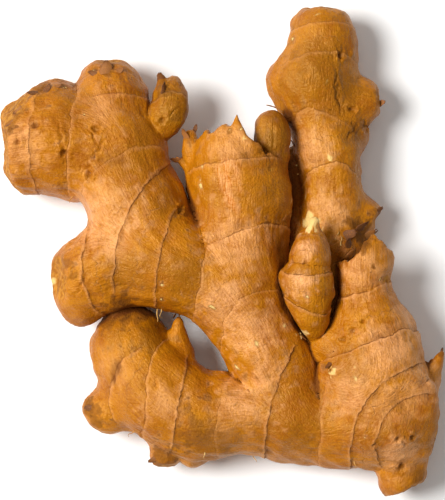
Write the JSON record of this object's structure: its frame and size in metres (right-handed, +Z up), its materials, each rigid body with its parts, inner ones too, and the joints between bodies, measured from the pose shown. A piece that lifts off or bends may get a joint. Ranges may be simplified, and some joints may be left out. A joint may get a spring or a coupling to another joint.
{
  "type": "ginger root",
  "caption": "Whole fresh hand of ginger lying flat: knobby branched rhizome with ringed fingers, buds, torn ends and root scars.",
  "frame": {"origin": "middle of the bounding box on the surface that the root lies on", "axes": "+Z up from that surface, +Y along the fingers away from the stump that they grow from"},
  "size_m": [0.1478, 0.1626, 0.0345],
  "materials": {
    "skin": "satin"
  },
  "bodies": {
    "root": {"ginger_root": "skin"}
  },
  "joints": []
}
